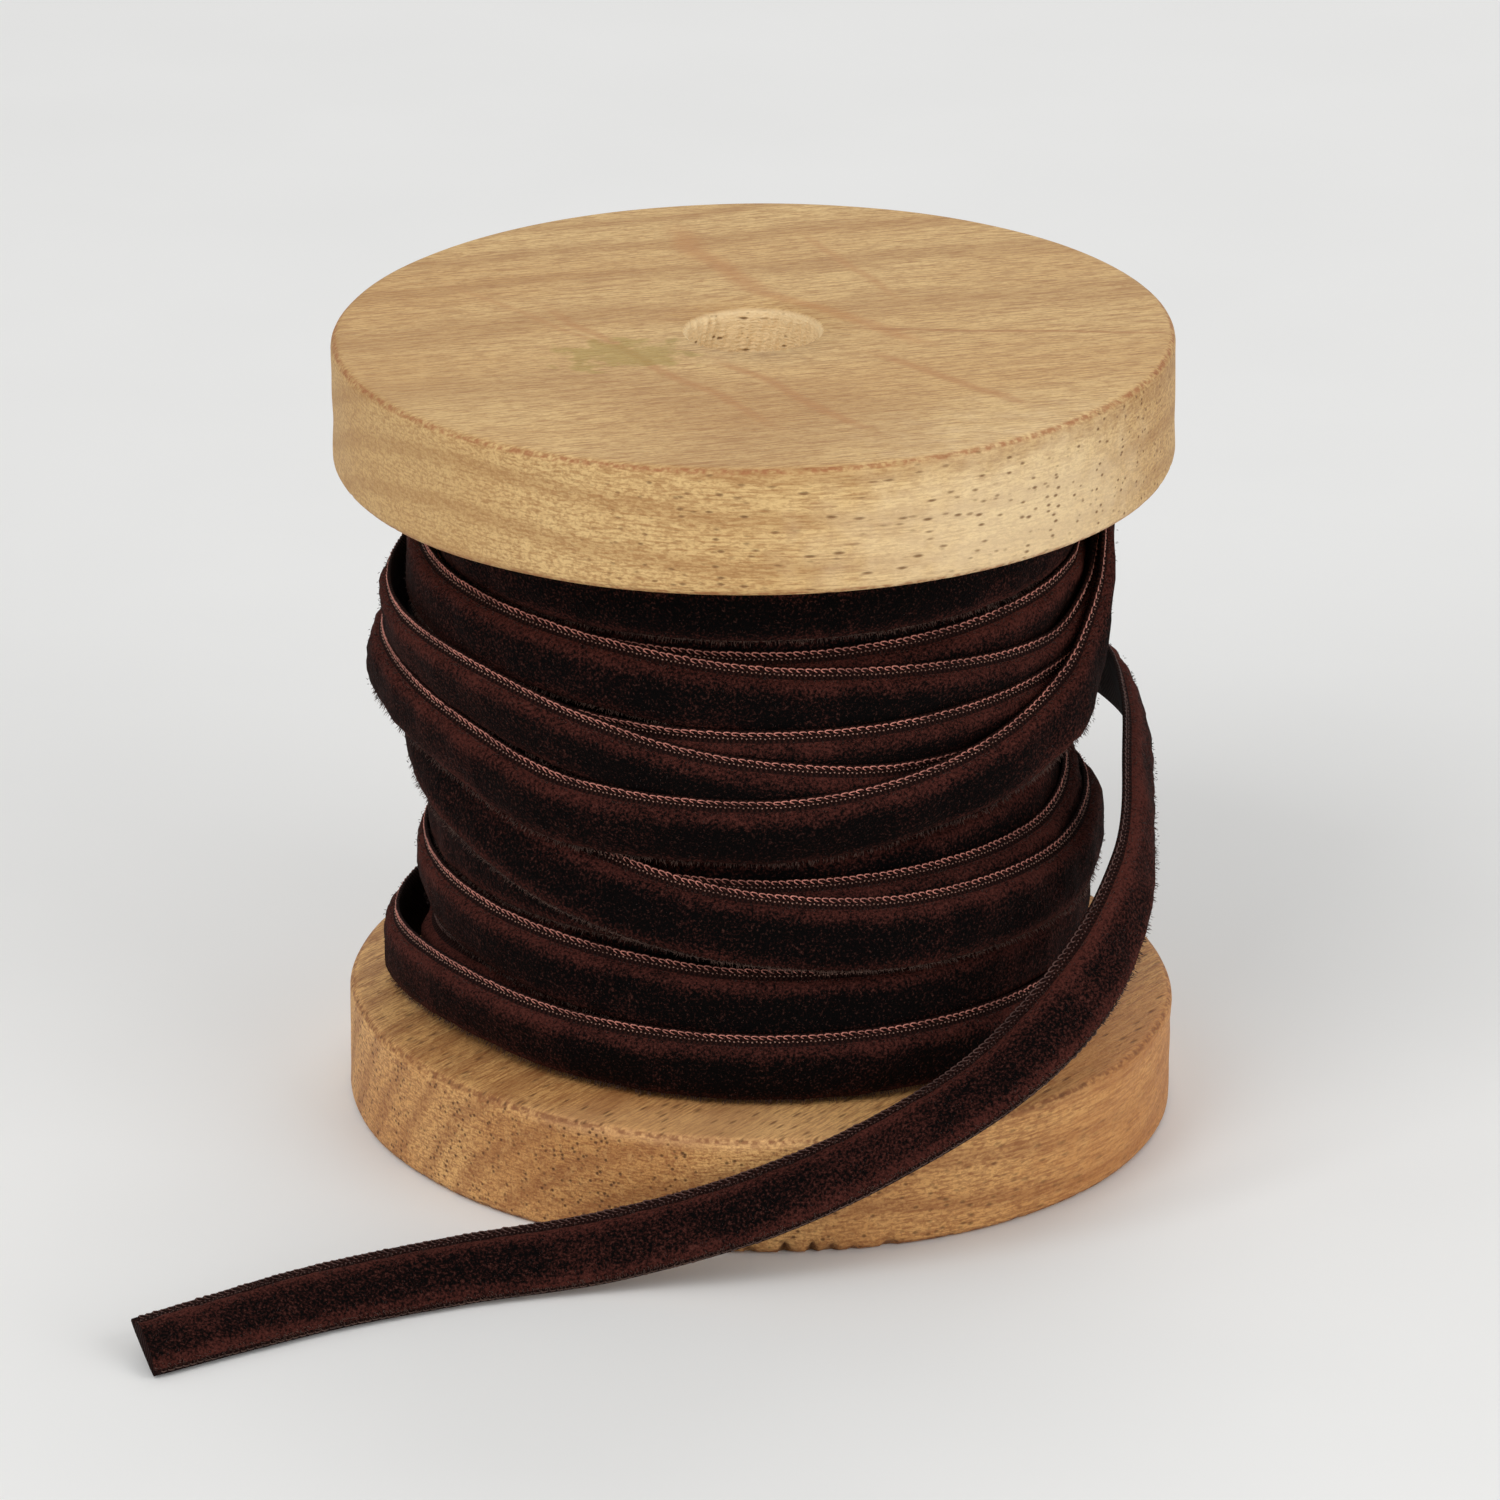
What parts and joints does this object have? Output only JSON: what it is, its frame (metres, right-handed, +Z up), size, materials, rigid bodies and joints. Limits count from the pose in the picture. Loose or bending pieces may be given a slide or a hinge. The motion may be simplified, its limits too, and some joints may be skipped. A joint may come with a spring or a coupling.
{
  "type": "roll of velvet ribbon on a wooden spool",
  "caption": "Narrow brown velvet ribbon wound unevenly on a turned wooden spool, its loose end bowing out at the side and lying in front.",
  "frame": {"origin": "centre of the lower disc's underside, where the spool stands", "axes": "+Z up, -Y toward the viewer where the loose end lies, +X to the right, where the loose end bows out"},
  "size_m": [0.1298, 0.142, 0.1034],
  "materials": {
    "pale_wood": "sanded bare",
    "warm_wood": "sanded bare",
    "velvet": "cut pile"
  },
  "bodies": {
    "root": {"flange_bottom": "warm_wood", "core": "warm_wood", "flange_top": "pale_wood", "ribbon_roll": "velvet", "ribbon_tail": "velvet"}
  },
  "joints": []
}
